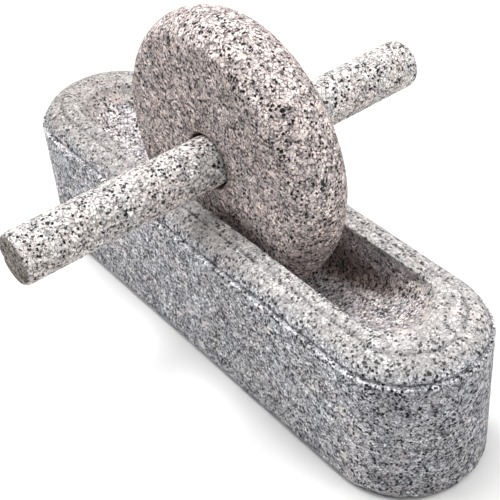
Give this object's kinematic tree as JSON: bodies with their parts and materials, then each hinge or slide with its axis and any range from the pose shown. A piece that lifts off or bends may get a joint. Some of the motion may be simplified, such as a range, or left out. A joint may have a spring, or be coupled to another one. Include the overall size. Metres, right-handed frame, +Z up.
{
  "type": "stone trough-and-wheel hand mill",
  "caption": "Granite hand mill: a boat-shaped trough with a curved grinding groove and a crowned stone wheel rolled along it by a round stone rod.",
  "frame": {"origin": "centre of the trough's flat underside", "axes": "+X along the trough, +Y along the rod, +Z up"},
  "size_m": [0.3, 0.2245, 0.1716],
  "materials": {
    "granite_trough": "matt",
    "granite_wheel": "matt",
    "granite_rod": "matt"
  },
  "bodies": {
    "trough": {"trough": "granite_trough"},
    "handle_rod": {"handle_rod": "granite_rod"},
    "wheel": {"wheel": "granite_wheel"}
  },
  "joints": [
    {"name": "roll_travel", "type": "hinge", "parent": "trough", "child": "handle_rod", "pos_m": [0, 0, 0.23025], "axis": [0, 1, 0], "range_deg": [-30, 30]},
    {"name": "wheel_spin", "type": "hinge", "parent": "handle_rod", "child": "wheel", "pos_m": [0, 0, 0.1036], "axis": [0, 1, 0], "range_deg": [-87, 87]}
  ],
  "couplings": [
    {"joint": "wheel_spin", "follows": "roll_travel", "ratio": -2.8669}
  ]
}
